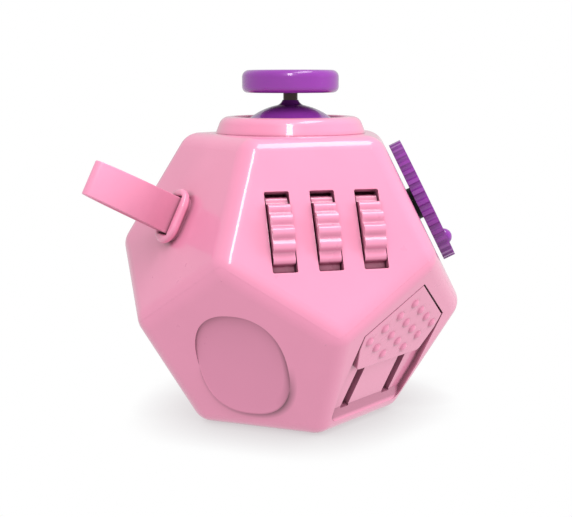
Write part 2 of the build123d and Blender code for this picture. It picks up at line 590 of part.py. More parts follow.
def strap():
    """A flat flexible loop for a key ring. It comes out through a grommet with a round, undercut rim."""
    def outline(wall, low, high):
        width, length = GROMMET_SLOT
        return long_slot(width + 2 * wall, length + 2 * wall, low, high)

    rim = outline(GROMMET_RIM_WALL, GROMMET_RIM, GROMMET_HEIGHT)
    rim = fillet(rim.edges().group_by(Axis.Z)[-1] + rim.edges().group_by(Axis.Z)[0], 0.6)
    grommet = rim + outline(GROMMET_NECK_WALL, -4.6, GROMMET_HEIGHT - 0.7)
    slot_width, slot_length = GROMMET_SLOT
    opening = block(slot_width, slot_length, -6, 3)
    grommet -= fillet(opening.edges().filter_by(Axis.Z), GROMMET_SLOT_CORNER)
    grommet = fillet(grommet.edges().group_by(Axis.Z)[-1], 0.4)
    turn_y = Rot(0, 0, 90)
    grommet -= turn_y * cross_rod(STRAP_PIN_RADIUS + 0.02, 8, z=STRAP_PIN_Z)
    return Module(
        "strap",
        pieces={
            "strap_grommet": grommet,
            "strap_pin": turn_y * cross_rod(STRAP_PIN_RADIUS, 5.6, z=STRAP_PIN_Z),
            "strap_root": strap_root(),
            "strap_loop": strap_loop(),
        },
        cut=outline(GROMMET_NECK_WALL + FIT, -3, 1),
    )


def strap_root():
    """The part of the strap inside the grommet: wrapped round its pin, then two layers side by side."""
    bore = STRAP_PIN_RADIUS + 0.05
    outer = bore + STRAP_WRAP_THICKNESS
    top, neck = STRAP_HINGE - STRAP_PINCH - 0.05, STRAP_PIN_Z + 2.2
    wrap = Circle(outer)
    taper = mirrored([(STRAP_THICKNESS, 2.2), (outer, 0)])
    wrap += make_face(Polyline(*taper, close=True))
    wrap = extrude(Plane.XZ * Pos(0, STRAP_PIN_Z) * (wrap - Circle(bore)), STRAP_WRAP_WIDTH / 2, both=True)
    return wrap + block(2 * STRAP_THICKNESS, STRAP_BASE_WIDTH - 0.3, neck, top)


def strap_loop():
    """The free loop: two layers that part in the middle and meet in a fold. It narrows towards the fold."""
    top = STRAP_REACH - STRAP_FOLD

    def lens(inset):
        foot, waist, tip = STRAP_PINCH - inset, STRAP_BULGE - inset, STRAP_FOLD - inset
        ends = ((0, 1), (-0.1, 1))
        side = Spline((foot, STRAP_HINGE), (waist, 0.6 * STRAP_REACH), (tip, top), tangents=ends)
        cap = ThreePointArc((tip, top), (0, top + tip), (-tip, top))
        root = ThreePointArc((-foot, STRAP_HINGE), (0, STRAP_HINGE - foot), (foot, STRAP_HINGE))
        return make_face(Curve() + [side, cap, mirror(side, Plane.YZ), root])

    opening = lens(STRAP_THICKNESS - 0.02) & Pos(0, STRAP_HINGE + 9) * Rectangle(10, 18)
    loop = extrude(Plane.XZ * (lens(0) - opening), STRAP_BASE_WIDTH, both=True)
    sides = mirrored([(STRAP_BASE_WIDTH / 2, 0), (STRAP_TIP_WIDTH / 2, STRAP_REACH + 1)])
    return loop & Plane.YZ * prism(sides, -5, 5)


# ---------------------------------------------------------------- lower ring

def slider():
    """A pad with rows of nubs that slides down a recess, guided by two track slots."""
    foot_y = POCKET_FOOT[1]
    pocket = prism(mirrored([POCKET_APEX, POCKET_SHOULDER, POCKET_WAIST, POCKET_FOOT]), -POCKET_DEPTH, 1)
    pocket = fillet(pocket.edges().filter_by(Axis.Z).group_by(Axis.Y)[0], POCKET_CORNER)
    slope = prism([(foot_y - 1, 0), (foot_y, 0), (foot_y + POCKET_RAMP, -POCKET_DEPTH),
                   (foot_y + POCKET_RAMP, -POCKET_DEPTH - 1), (foot_y - 1, -POCKET_DEPTH - 1)], -12, 12)
    pocket -= Plane.YZ * slope
    middle, length = (TRACK_TOP + TRACK_END) / 2, TRACK_TOP - TRACK_END
    tracks = [block(TRACK_WIDTH, length, -5, 0, side * TRACK_X, middle) for side in (-1, 1)]
    return Module(
        "slider",
        pieces={"slider_pad": slider_pad(), "slider_keeper": slider_keeper()},
        cut=Part() + [pocket, *tracks],
    )


def pad_nub_spots():
    """Rows of nubs in a diagonal pattern: one, two, three, four, three, two."""
    spots = []
    for row, count in enumerate((1, 2, 3, 4, 3, 2)):
        for k in range(count):
            spots.append(((2 * k - count + 1) * PAD_NUB_PITCH_X, PAD_NUB_TOP_Y - row * PAD_NUB_PITCH_Y))
    return spots


def slider_pad():
    """The pad, its nubs, and two hooked legs that pass through the tracks."""
    pad = prism(mirrored([PAD_APEX, PAD_SHOULDER, PAD_SIDE, PAD_FOOT]), PAD_GAP - POCKET_DEPTH, 0)
    pad = fillet(pad.edges().filter_by(Axis.Z).group_by(Axis.Y)[0], 1.0)
    pad = fillet(pad.edges().group_by(Axis.Z)[-1], 0.15)
    nub_sphere = (PAD_NUB_RADIUS ** 2 + PAD_NUB_HEIGHT ** 2) / (2 * PAD_NUB_HEIGHT)
    nub = Pos(0, 0, PAD_NUB_HEIGHT - nub_sphere) * Sphere(nub_sphere) & rod(PAD_NUB_RADIUS + 0.1, -0.4, 1)
    pad += [Pos(x, y, 0) * nub for x, y in pad_nub_spots()]
    leg_y = TRACK_TOP - 0.3 - LEG_LENGTH / 2
    for side in (-1, 1):
        pad += block(TRACK_WIDTH - 0.4, LEG_LENGTH, -4.0, -0.5, side * TRACK_X, leg_y)
        pad += block(0.5, LEG_LENGTH, -4.0, -3.6, side * (TRACK_X + TRACK_WIDTH / 2 - 0.1), leg_y)
    return pad


def slider_keeper():
    """The plate behind the tracks that the legs hook onto."""
    top = -WALL - 0.1
    leg_y = TRACK_TOP - 0.3 - LEG_LENGTH / 2
    plate = block(2 * TRACK_X + 4.4, LEG_LENGTH + 1.4, top - 1.2, top, 0, leg_y)
    plate = fillet(plate.edges().filter_by(Axis.Z), 1.0)
    for side in (-1, 1):
        plate -= block(TRACK_WIDTH - 0.3, LEG_LENGTH + 0.1, -5, 0, side * TRACK_X, leg_y)
    return plate


def ball():
    """A ball that rolls in a sprung cup, and clicks in when it is pressed."""
    opening = rod(BALL_MOUTH, BALL_Z, 1) + Pos(0, 0, BALL_Z) * Sphere(BALL_RADIUS + 0.12)
    sleeve = rod(SLEEVE_INNER + SLEEVE_WALL, SLEEVE_END, -1)
    bore = rod(SLEEVE_INNER, SLEEVE_END - 1, -WALL)
    cup_low, cap_top = -7.8, SLEEVE_END + 1.0
    cup = rod(SLEEVE_INNER - 0.08, cup_low, -3.2) - Pos(0, 0, BALL_Z) * Sphere(BALL_RADIUS + 0.06)
    cup += rod(2.2, cup_low - 0.6, cup_low)
    cap = rod(SLEEVE_INNER - FIT, SLEEVE_END, cap_top) + rod(2.2, cap_top, cap_top + 0.6)
    return Module(
        "ball",
        pieces={
            "rolling_ball": Pos(0, 0, BALL_Z) * Sphere(BALL_RADIUS),
            "ball_cup": cup,
            "ball_spring": coil(3.0, 0.25, cap_top + FIT, cup_low - FIT, 3),
            "ball_end_cap": cap,
        },
        add=sleeve,
        cut=bore + opening,
    )


def spinner():
    """A three-lobed spinner on a ball bearing, with a finger cap on its post."""
    lobes = Circle(BEARING_OUTER + 1.6)
    lobes += [turn * Pos(0, SPINNER_LOBE_CIRCLE) * Circle(SPINNER_LOBE_RADIUS) for turn in around(3)]
    lobes = fillet(lobes.vertices(), 2.2)
    body = extrude(Pos(0, 0, SPINNER_LOW) * lobes, SPINNER_TOP - SPINNER_LOW)
    body = fillet(body.edges().group_by(Axis.Z)[-1], 0.7)
    dimple = rod(2.0, SPINNER_TOP - 0.6, SPINNER_TOP + 1, 0, SPINNER_LOBE_CIRCLE + 0.9)
    body -= [turn * dimple for turn in around(3)]
    body -= rod(BEARING_OUTER + 0.01, 0, 9)
    middle = (BEARING_LOW + BEARING_TOP) / 2
    pitch = (BEARING_RACE_OUTER + BEARING_RACE_INNER) / 2
    race = Pos(0, 0, middle) * Torus(pitch, BEARING_BALL + 0.02)
    balls = [turn * Pos(pitch, 0, middle) * Sphere(BEARING_BALL) for turn in around(BEARING_BALLS)]
    pockets = [turn * Pos(pitch, 0, middle) * Sphere(BEARING_BALL + 0.03) for turn in around(BEARING_BALLS)]
    cage = tube(BEARING_RACE_OUTER - 0.15, BEARING_RACE_INNER + 0.15, middle + 0.42, middle + 0.95)
    flange_top, post_end, seat = BEARING_LOW - 0.02, -3.95, -5.0
    post = rod(BEARING_BORE - 0.02, 0.5, BEARING_TOP) + rod(2.9, 0.02, flange_top) + rod(1.6, post_end, 0.5)
    post -= rod(1.22, BEARING_TOP - 1.5, BEARING_TOP + 1) + rod(PILOT_RADIUS, -6, -1.2)
    cap = rod(3.7, BEARING_TOP + 0.15, BEARING_TOP + 1.5)
    cap = fillet(cap.edges().group_by(Axis.Z)[-1], 0.6)
    cap -= Pos(0, 0, BEARING_TOP + 1.5 + 11.6) * Sphere(12.0)
    cap += rod(2.3, BEARING_TOP + 0.02, BEARING_TOP + 0.3) + rod(1.2, BEARING_TOP - 1.4, BEARING_TOP + 0.3)
    boss = rod(3.0, seat, -1)
    return Module(
        "spinner",
        pieces={
            "spinner_disc": body,
            "bearing_outer_ring": tube(BEARING_OUTER, BEARING_RACE_OUTER, BEARING_LOW, BEARING_TOP) - race,
            "bearing_inner_ring": tube(BEARING_RACE_INNER, BEARING_BORE, BEARING_LOW, BEARING_TOP) - race,
            "bearing_balls": Compound(children=balls),
            "bearing_cage": cage - pockets,
            "spinner_post": post,
            "spinner_cap": cap,
        },
        add=boss,
        cut=rod(1.65, -4.0, 1) + rod(SCREW_RADIUS + 0.1, -6, -3.9),
        screws=[screw(0, 0, seat)],
    )


def knob():
    """A fluted twist knob with a pointer ridge, on the same click mechanism as the dial."""
    pieces, holds, bore = click_parts("knob", 0)
    profile = Circle(KNOB_RADIUS)
    profile -= [turn * Pos(KNOB_RADIUS + 0.35, 0) * Circle(0.8) for turn in around(16)]
    grip = extrude(Pos(0, 0, 1.4) * profile, KNOB_TOP - 1.4)
    grip = fillet(grip.edges().group_by(Axis.Z)[-1], 0.45)
    skirt = rod(KNOB_RADIUS + 1.2, 0.4, 1.6)
    skirt = fillet(skirt.edges().group_by(Axis.Z)[-1], 0.6)
    pointer = block(1.0, 4.4, KNOB_TOP - 0.3, KNOB_TOP + 0.45, 0, 2.6)
    pointer = fillet(pointer.edges().group_by(Axis.Z)[-1], 0.3)
    pieces["twist_knob"] = click_shaft(0, 0.6) + skirt + grip + pointer
    return Module("knob", pieces, add=holds, cut=bore)


def dish():
    """A hollowed oval for a thumb to rub, leaning back into the face, with the case bulged behind it."""
    points = []
    for k in range(24):
        angle = 2 * pi * k / 24
        x, y = abs(cos(angle)) / DISH_HALF_WIDTH, abs(sin(angle)) / DISH_HALF_LENGTH
        reach = (x ** DISH_FULLNESS + y ** DISH_FULLNESS) ** (-1 / DISH_FULLNESS)
        points.append((reach * cos(angle), reach * sin(angle)))
    oval = make_face(Spline(*points, periodic=True))
    lean = Pos(0, DISH_Y, DISH_RISE) * Rot(0, 0, DISH_TURN) * Rot(-DISH_LEAN, 0, 0) * Rot(0, 0, -DISH_TURN)

    def bowl(grow, depth):
        return scale(Sphere(1), (DISH_HALF_WIDTH + grow, DISH_HALF_LENGTH + grow, depth))

    pad = lean * extrude(Pos(0, 0, -2.5) * oval, 2.5)
    backing = Pos(0, DISH_Y, 0) * bowl(2.6, 3.3) & block(40, 40, -9, -1)
    above = lean * extrude(oval, 3)
    hollow = lean * (extrude(Pos(0, 0, -2) * oval, 2.1) & bowl(0.9, DISH_HOLLOW))
    return Module("dish", add=backing + pad, cut=above + hollow)


# ---------------------------------------------------------------- base

def base_nub_spots():
    """A hexagonal pattern of nubs inside the pad's rim."""
    row_step = BASE_NUB_PITCH * sqrt(3) / 2
    spots = []
    for row in range(-3, 4):
        for column in range(-4, 5):
            x, y = (column + row % 2 / 2) * BASE_NUB_PITCH, row * row_step
            if sqrt(x * x + y * y) < BASE_RECESS_RADIUS - 1.6:
                spots.append((x, y))
    return spots


def base():
    """A rubber pad of nubs in the bottom recess. It hides the closing screws."""
    low = -BASE_RECESS_DEPTH
    pad = rod(BASE_RECESS_RADIUS - 0.1, low, low + BASE_PAD_THICKNESS)
    pad = fillet(pad.edges().group_by(Axis.Z)[-1], 0.3)
    pad += [Pos(x, y, low + BASE_PAD_THICKNESS - 0.3) * Sphere(BASE_NUB_RADIUS) & block(40, 40, low + 0.3, 0)
            for x, y in base_nub_spots()]
    bosses, holes = [], []
    for x, y in on_circle(POST_CIRCLE, POST_ANGLES):
        bosses.append(rod(3.0, low - 3.5, -1, x, -y))
        holes.append(rod(CLOSING_HEAD_RADIUS + 0.1, low - 1.4, 0, x, -y))
        holes.append(rod(CLOSING_SCREW_RADIUS + 0.12, low - 4, 0, x, -y))
    floor = rod(BASE_RECESS_RADIUS + 1.2, low - 1.4, -1)
    recess = rod(BASE_RECESS_RADIUS, low, 1)
    return Module("base", {"nub_pad": pad}, Part() + [floor, *bosses], Part() + [recess, *holes])


# ---------------------------------------------------------------- build

def main():
    makers = (joystick, rollers, dial, rocker, buttons, strap, slider, ball, spinner, knob, dish, base)
    modules = [maker() for maker in makers]
    nodes = shells(modules)
    nodes["closing_screws"] = closing_screws()
    case_screws = []
    for module in modules:
        place = FACES[module.face].location
        case_screws += [place * one for one in module.screws]
        for node, shape in module.pieces.items():
            nodes[node] = place * shape
    nodes["case_screws"] = Compound(children=case_screws)
    os.makedirs("parts", exist_ok=True)
    for node, shape in nodes.items():
        export_step(shape, f"parts/{node}.step")


main()
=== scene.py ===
"""A twelve-sided fidget toy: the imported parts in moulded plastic, with a soft strap and a soft foot pad."""

import json
import math

import bmesh
import bpy
from mathutils import Matrix, Vector


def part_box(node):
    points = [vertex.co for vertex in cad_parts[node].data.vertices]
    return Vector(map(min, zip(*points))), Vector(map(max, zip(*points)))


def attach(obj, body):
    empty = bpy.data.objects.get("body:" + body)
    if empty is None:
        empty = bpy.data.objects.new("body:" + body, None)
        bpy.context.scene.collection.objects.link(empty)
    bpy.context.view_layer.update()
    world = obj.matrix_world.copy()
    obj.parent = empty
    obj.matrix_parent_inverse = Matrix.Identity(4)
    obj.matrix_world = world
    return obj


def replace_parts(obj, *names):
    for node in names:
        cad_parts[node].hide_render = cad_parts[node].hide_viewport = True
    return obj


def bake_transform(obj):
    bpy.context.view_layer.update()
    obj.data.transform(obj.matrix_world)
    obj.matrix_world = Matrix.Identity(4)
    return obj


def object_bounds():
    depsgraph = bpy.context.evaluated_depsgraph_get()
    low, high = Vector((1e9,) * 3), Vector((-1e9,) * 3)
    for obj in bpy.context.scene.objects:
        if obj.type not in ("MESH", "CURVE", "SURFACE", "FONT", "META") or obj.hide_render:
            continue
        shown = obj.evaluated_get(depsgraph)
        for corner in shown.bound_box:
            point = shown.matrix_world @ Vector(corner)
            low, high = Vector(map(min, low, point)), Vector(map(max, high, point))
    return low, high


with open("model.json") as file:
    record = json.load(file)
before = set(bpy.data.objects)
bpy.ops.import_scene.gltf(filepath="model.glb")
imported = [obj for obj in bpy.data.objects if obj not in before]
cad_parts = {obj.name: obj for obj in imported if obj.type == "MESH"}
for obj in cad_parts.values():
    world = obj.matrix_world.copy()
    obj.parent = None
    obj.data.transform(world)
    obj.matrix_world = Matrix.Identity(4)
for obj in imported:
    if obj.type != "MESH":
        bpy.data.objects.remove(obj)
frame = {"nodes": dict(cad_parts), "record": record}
cad_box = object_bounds()

MM = 0.001
EDGE = 20.0 * MM  # the body is a regular dodecahedron with this edge
IN_RADIUS = EDGE / 2 * math.sqrt(5 / 2 + 11 / 10 * math.sqrt(5))
CENTRE = Vector((0, 0, IN_RADIUS))
RING_TILT = math.atan(0.5)  # how far the upper ring of faces looks up, and the lower ring down
FACE_STEP = math.radians(72)
ROLLERS_AZIMUTH = math.radians(-90)
STRAP_AZIMUTH = ROLLERS_AZIMUTH - FACE_STEP
DISH_AZIMUTH = ROLLERS_AZIMUTH - FACE_STEP / 2
SLIDER_AZIMUTH = ROLLERS_AZIMUTH + FACE_STEP / 2


def face_axes(azimuth, elevation):
    """The directions to the right of a body face, up its slope and straight out of it."""
    out = Vector((math.cos(elevation) * math.cos(azimuth), math.cos(elevation) * math.sin(azimuth),
                  math.sin(elevation)))
    right = Vector((-math.sin(azimuth), math.cos(azimuth), 0))
    return right, out.cross(right), out


# ---------------------------------------------------------------- materials

# The second colour here is painted shade for closed corners.
PINK, PINK_CREASE_SHADE = (0.86, 0.30, 0.47), (0.1, 0.016, 0.036)
# Both are painted shade: a darker pink inside the thumb dish's hollow, and a darker one still along its rim
# and on the slider pocket's walls.
DISH_SHADED_PINK, PINK_PAINTED_SHADE = (0.66, 0.255, 0.385), (0.2, 0.06, 0.1)
# The last colour here is painted shade for closed corners.
PURPLE, DOME_PURPLE_SHADED, PURPLE_CREASE_SHADE = (0.27, 0.025, 0.36), (0.24, 0.035, 0.32), (0.05, 0.004, 0.08)
# The second colour here is painted shade for closed corners.
BLACK, BLACK_CREASE_SHADE = (0.045, 0.035, 0.045), (0.01, 0.008, 0.01)
# The strap's first pink is its face end and the second its tip: painted shade toward the grommet and painted
# light toward the tip.
SOFT_PINK, SOFT_PINK_PAINTED_LIGHT, SOFT_PURPLE = (0.74, 0.25, 0.39), (0.93, 0.335, 0.52), (0.26, 0.045, 0.36)
GROUND_STEEL, SPRING_STEEL, ZINC = (0.07, 0.05, 0.05), (0.55, 0.54, 0.53), (0.62, 0.63, 0.66)

GRAIN_HEIGHT = 0.02 * MM  # of the fine bumps on every surface
MOULDED_GRAIN, SOFT_GRAIN, DRAWN_GRAIN = 0.03, 0.2, 0.15  # how strongly they show
BROKEN_EDGE = 0.1 * MM  # the rounding that every moulded edge has
# Painted shade in closed corners: for each, a reach, the most closed corner, and how dark the painted shade
# gets.
CREASE_SHADING = ((3.0 * MM, 0.2, 0.9), (0.9 * MM, 0.1, 0.6))  # reach, most closed corner, how dark it gets
# How much of the painted shade colours each mask mixes in: the dish's darker pink, its rim's shade and the
# pocket walls' shade.
DISH_SHADE_SHARE, DISH_RIM_SHADE_SHARE, POCKET_SHADE_SHARE = 0.55, 0.75, 0.5  # how far each takes over the plain colour


def tint(colour, scale=1.0):
    return tuple(min(1.0, c * scale) for c in colour) + (1.0,)


class Nodes:
    """A material's node tree, with short calls to add and join its nodes."""

    def __init__(self, name):
        self.material = bpy.data.materials.new(name)
        self.material.use_nodes = True
        self.tree = self.material.node_tree
        self.shader = self.tree.nodes["Principled BSDF"]

    def add(self, kind, settings=None, **inputs):
        node = self.tree.nodes.new("ShaderNode" + kind)
        for key, value in (settings or {}).items():
            setattr(node, key, value)
        for key, value in inputs.items():
            self.put(node.inputs[key.replace("_", " ")], value)
        return node

    def put(self, socket, value):
        if isinstance(value, bpy.types.NodeSocket):
            self.tree.links.new(value, socket)
        else:
            socket.default_value = value

    def set(self, **inputs):
        for key, value in inputs.items():
            self.put(self.shader.inputs[key.replace("_", " ")], value)

    def math(self, operation, one, other=0.0):
        node = self.add("Math", {"operation": operation})
        self.put(node.inputs[0], one)
        self.put(node.inputs[1], other)
        return node.outputs[0]

    def along(self, vector, axis):
        """How far a vector reaches along an axis."""
        node = self.add("VectorMath", {"operation": "DOT_PRODUCT"})
        self.put(node.inputs[0], vector)
        self.put(node.inputs[1], axis)
        return node.outputs["Value"]

    def mix(self, share, one, other):
        """A colour part way from one to other."""
        node = self.tree.nodes.new("ShaderNodeMix")
        node.data_type = "RGBA"
        for index, value in ((0, share), (6, one), (7, other)):
            self.put(node.inputs[index], value)
        return node.outputs[2]

    def spread(self, value, low, high, to_low, to_high):
        """A value carried from one range to another, and held at its ends."""
        node = self.add("MapRange", Value=value, From_Min=low, From_Max=high, To_Min=to_low, To_Max=to_high)
        return node.outputs["Result"]

    def noise(self, place, scale, detail, roughness=0.5):
        """A noise that mostly stays between 0.3 and 0.7, with so many waves to a metre."""
        node = self.add("TexNoise", Vector=place, Scale=scale, Detail=detail, Roughness=roughness)
        return node.outputs["Fac"]

    def patches(self, noise, to_low=0.0, to_high=1.0):
        """A noise carried to another range."""
        return self.spread(noise, 0.3, 0.7, to_low, to_high)

    def open_sky(self, reach, samples, own=False):
        """1 where nothing is in reach and 0 in a closed corner. With own, only the piece itself counts."""
        node = self.add("AmbientOcclusion", {"samples": samples, "only_local": own}, Distance=reach)
        return node.outputs["AO"]

    def bump(self, height, strength, **inputs):
        """The surface's normal with fine bumps."""
        node = self.add("Bump", Strength=strength, Distance=GRAIN_HEIGHT, Height=height, **inputs)
        return node.outputs["Normal"]


DISH_MIDDLE, DISH_HALF_SIZE, DISH_FULLNESS = -0.85 * MM, (7.2 * MM, 9.05 * MM), 2.35
DISH_DEPTH = 2.5 * MM  # a little more than the real depth


def in_the_dish(n, place):
    """1 within the thumb dish's oval, where painted shade darkens it, and 0 outside it, and the same for the
    painted shade along its rim.

    The painted shade lies inside the rim at the upper right, and outside it below.
    """
    right, up, out = face_axes(DISH_AZIMUTH, -RING_TILT)
    middle = CENTRE + out * IN_RADIUS + up * DISH_MIDDLE
    x, y = (n.math("SUBTRACT", n.along(place, axis / half), middle.dot(axis) / half)
            for axis, half in zip((right, up), DISH_HALF_SIZE))
    size = n.math("ADD", n.math("POWER", n.math("ABSOLUTE", x), DISH_FULLNESS),
                  n.math("POWER", n.math("ABSOLUTE", y), DISH_FULLNESS))
    near = n.math("GREATER_THAN", n.along(place, out), middle.dot(out) - DISH_DEPTH)
    inside = n.math("MULTIPLY", near, n.spread(size, 0.92, 1.02, 1, 0))
    upper_right = n.math("ADD", n.math("MULTIPLY", x, 0.75), n.math("MULTIPLY", y, 0.65))
    within = n.math("MULTIPLY", n.spread(size, 0.66, 0.98, 0, 1), n.spread(upper_right, -0.1, 0.6, 0, 1))
    below = n.math("ADD", n.math("MULTIPLY", x, 0.35), n.math("MULTIPLY", y, -0.9))
    beyond = n.math("MULTIPLY", n.spread(size, 1.02, 1.4, 1, 0), n.spread(below, 0.3, 0.8, 0, 1))
    beyond = n.math("MULTIPLY", beyond, n.math("SUBTRACT", near, inside))
    return inside, n.math("ADD", n.math("MULTIPLY", within, inside), beyond)


FACE_MARGIN = 12.3 * MM  # from the middle of the slider's face to just short of the rounding of its edges
POCKET_DEPTH = 4.0 * MM  # down to the bottom of its tracks, and a little more


def pocket_walls(n, place):
    """1 on the sides and the end slope of the slider's pocket and tracks, where painted shade goes."""
    right, up, out = face_axes(SLIDER_AZIMUTH, -RING_TILT)
    x = n.math("ABSOLUTE", n.along(place, right))
    y = n.math("SUBTRACT", n.along(place, up), CENTRE.dot(up))
    height = n.math("SUBTRACT", n.along(place, out), CENTRE.dot(out) + IN_RADIUS)
    facing = n.math("ABSOLUTE", n.along(n.add("NewGeometry").outputs["Normal"], out))
    sunk = n.spread(height, -0.3 * MM, -0.1 * MM, 1, 0)
    walls = n.math("MULTIPLY", sunk, n.spread(facing, 0.93, 0.97, 1, 0))
    walls = n.math("MULTIPLY", walls, n.math("GREATER_THAN", height, -POCKET_DEPTH))
    for edge in range(3):
        looks = math.radians(54) - edge * FACE_STEP  # the face's upper, side and bottom edges
        toward = n.math("ADD", n.math("MULTIPLY", x, math.cos(looks)),
                        n.math("MULTIPLY", y, math.sin(looks)))
        walls = n.math("MULTIPLY", walls, n.math("LESS_THAN", toward, FACE_MARGIN))
    return walls


def plastic(name, colour, crease_shade, rough=0.32, coat=0.8, mottle=0.03, case=False):
    """Moulded plastic: faint flow mottling, a fine moulded grain, handled patches and painted shade in closed
    corners.

    The case's broad painted shade comes from its own hollows, and not from what stands near it. Its thumb
    dish has a duller coat and is painted darker as shade of its hollow; painted shade lies along its rim and
    in the slider's pocket.
    """
    n = Nodes(name)
    place = n.add("TexCoord").outputs["Object"]
    flow = n.noise(place, 70.0, 3.0)
    handled = n.noise(place, 160.0, 4.0, 0.65)
    grain = n.noise(place, 3200.0, 2.0, 0.6)
    base = n.mix(n.patches(flow), tint(colour, 1 - mottle), tint(colour, 1 + mottle))
    # Painted shade: the colour darkens in closed corners. For the case, the wider reach counts only its own
    # hollows.
    for (reach, closed, darkest), own in zip(CREASE_SHADING, (case, False)):
        open_sky = n.open_sky(reach, samples=12, own=own)
        base = n.mix(n.spread(open_sky, closed, 0.97, darkest, 0), base, tint(crease_shade))
    gloss = coat
    if case:
        dull_and_shaded, rim_shade = in_the_dish(n, place)
        # Painted shade: the dish's hollow is painted darker, and its coat is made duller.
        base = n.mix(n.math("MULTIPLY", dull_and_shaded, DISH_SHADE_SHARE), base, tint(DISH_SHADED_PINK))
        # Painted shade along the dish's rim.
        base = n.mix(n.math("MULTIPLY", rim_shade, DISH_RIM_SHADE_SHARE), base, tint(PINK_PAINTED_SHADE))
        # Painted shade on the walls and end slope of the slider's pocket and tracks.
        base = n.mix(n.math("MULTIPLY", pocket_walls(n, place), POCKET_SHADE_SHARE), base, tint(PINK_PAINTED_SHADE))
        gloss = n.spread(dull_and_shaded, 0, 1, coat, coat / 3)
    soft_edges = n.add("Bevel", {"samples": 6}, Radius=BROKEN_EDGE).outputs["Normal"]
    n.set(Base_Color=base, Normal=n.bump(grain, MOULDED_GRAIN, Normal=soft_edges))
    n.set(Roughness=n.patches(handled, rough - 0.05, rough + 0.06))
    n.set(Coat_Weight=gloss, Coat_Roughness=0.05, Coat_IOR=1.5, Specular_IOR_Level=0.4)
    return n.material


def metal(name, colour, rough=0.3, streaks=900.0):
    """Drawn or ground steel: fine streaks and smudged polish."""
    n = Nodes(name)
    place = n.add("TexCoord").outputs["Object"]
    stretched = n.add("Mapping", Vector=place, Scale=(1.0, 1.0, 12.0)).outputs["Vector"]
    lines = n.noise(stretched, streaks, 3.0)
    smudge = n.noise(place, 240.0, 3.0)
    base = n.mix(n.patches(smudge), tint(colour, 0.82), tint(colour, 1.1))
    n.set(Base_Color=base, Metallic=1.0, Normal=n.bump(lines, DRAWN_GRAIN))
    n.set(Roughness=n.patches(lines, rough - 0.08, rough + 0.12))
    return n.material


def silicone(name, colour, crease_shade, tip=None, rough=0.42):
    """Soft silicone: a satin skin with a fine matt grain, and a trace of dust.

    Where it's given a tip colour, that takes over toward the piece's tip: painted light and shade, darker at
    the face end and lighter toward the tip.
    """
    n = Nodes(name)
    place = n.add("TexCoord").outputs["Object"]
    cloud = n.noise(place, 220.0, 4.0, 0.6)
    grain = n.noise(place, 5200.0, 2.0)
    base = n.mix(n.patches(cloud), tint(colour, 0.95), tint(colour, 1.04))
    if tip:
        along = n.add("Attribute", {"attribute_name": "along"}).outputs["Fac"]
        base = n.mix(n.spread(along, 0.35, 1.0, 0, 1), base, tint(tip))
    # Painted shade: the colour darkens where other parts close in around the piece.
    open_sky = n.open_sky(2.0 * MM, samples=8)
    base = n.mix(n.spread(open_sky, 0.0, 0.75, 0.9, 0), base, tint(crease_shade))
    n.set(Base_Color=base, Normal=n.bump(grain, SOFT_GRAIN))
    n.set(Roughness=n.patches(cloud, rough - 0.05, rough + 0.08))
    n.set(Specular_IOR_Level=0.4, Sheen_Weight=0.12, Sheen_Roughness=0.4)
    return n.material


MATERIALS = {
    "shell_pink": plastic("moulded_pink", PINK, PINK_CREASE_SHADE, case=True),
    "part_pink": plastic("moulded_pink_parts", PINK, PINK_CREASE_SHADE, rough=0.28),
    "part_purple": plastic("moulded_purple", PURPLE, PURPLE_CREASE_SHADE, rough=0.3, mottle=0.06),
    # The dome's purple is the disc's purple made a little darker: painted shade, as the dome sits under the
    # disc.
    "dome_purple": plastic("moulded_purple_painted_shade", DOME_PURPLE_SHADED, PURPLE_CREASE_SHADE, rough=0.22, mottle=0.06),
    "dark_plastic": plastic("dark_acetal", BLACK, BLACK_CREASE_SHADE, rough=0.45, coat=0.1),
    "steel": metal("ground_steel", GROUND_STEEL, rough=0.35),
    "spring_steel": metal("spring_steel", SPRING_STEEL, rough=0.25, streaks=1500.0),
    "screw_zinc": metal("zinc_plate", ZINC, rough=0.32),
    "silicone_pink": silicone("soft_pink", SOFT_PINK, PINK_CREASE_SHADE, tip=SOFT_PINK_PAINTED_LIGHT),
    "silicone_purple": silicone("soft_purple", SOFT_PURPLE, PURPLE_CREASE_SHADE, rough=0.5),
}

for part in frame["record"]["subparts"]:
    node = frame["nodes"][part["node"]]
    node.data.materials.clear()
    node.data.materials.append(MATERIALS[part["material_slot"]])
    for polygon in node.data.polygons:
        polygon.material_index = 0


# ---------------------------------------------------------------- pieces

def face_matrix(azimuth, elevation):
    """The frame of a body face: x to its right, y up its slope, z straight out."""
    right, up, out = face_axes(azimuth, elevation)
    matrix = Matrix((right, up, out)).transposed().to_4x4()
    matrix.translation = CENTRE + out * IN_RADIUS
    return matrix


def finish_piece(name, bm, matrix, material_slot):
    """Turns a bmesh into a smooth shaded piece, carried by the matrix into the frame of the whole toy."""
    bmesh.ops.recalc_face_normals(bm, faces=bm.faces[:])
    mesh = bpy.data.meshes.new(name)
    bm.to_mesh(mesh)
    bm.free()
    mesh.transform(matrix)
    for polygon in mesh.polygons:
        polygon.use_smooth = True
    piece = bpy.data.objects.new(name, mesh)
    bpy.context.scene.collection.objects.link(piece)
    mesh.materials.append(MATERIALS[material_slot])
    return piece


def rounded_section(half_thick, half_wide, corner, steps=4):
    """The outline of a strap's cross-section, as pairs of places across it and along its width."""
    points = []
    for index, (sx, sy) in enumerate(((1, 1), (-1, 1), (-1, -1), (1, -1))):
        for k in range(steps + 1):
            angle = math.radians(90 * (index + k / steps))
            points.append((sx * (half_thick - corner) + corner * math.cos(angle),
                           sy * (half_wide - corner) + corner * math.sin(angle)))
    return points


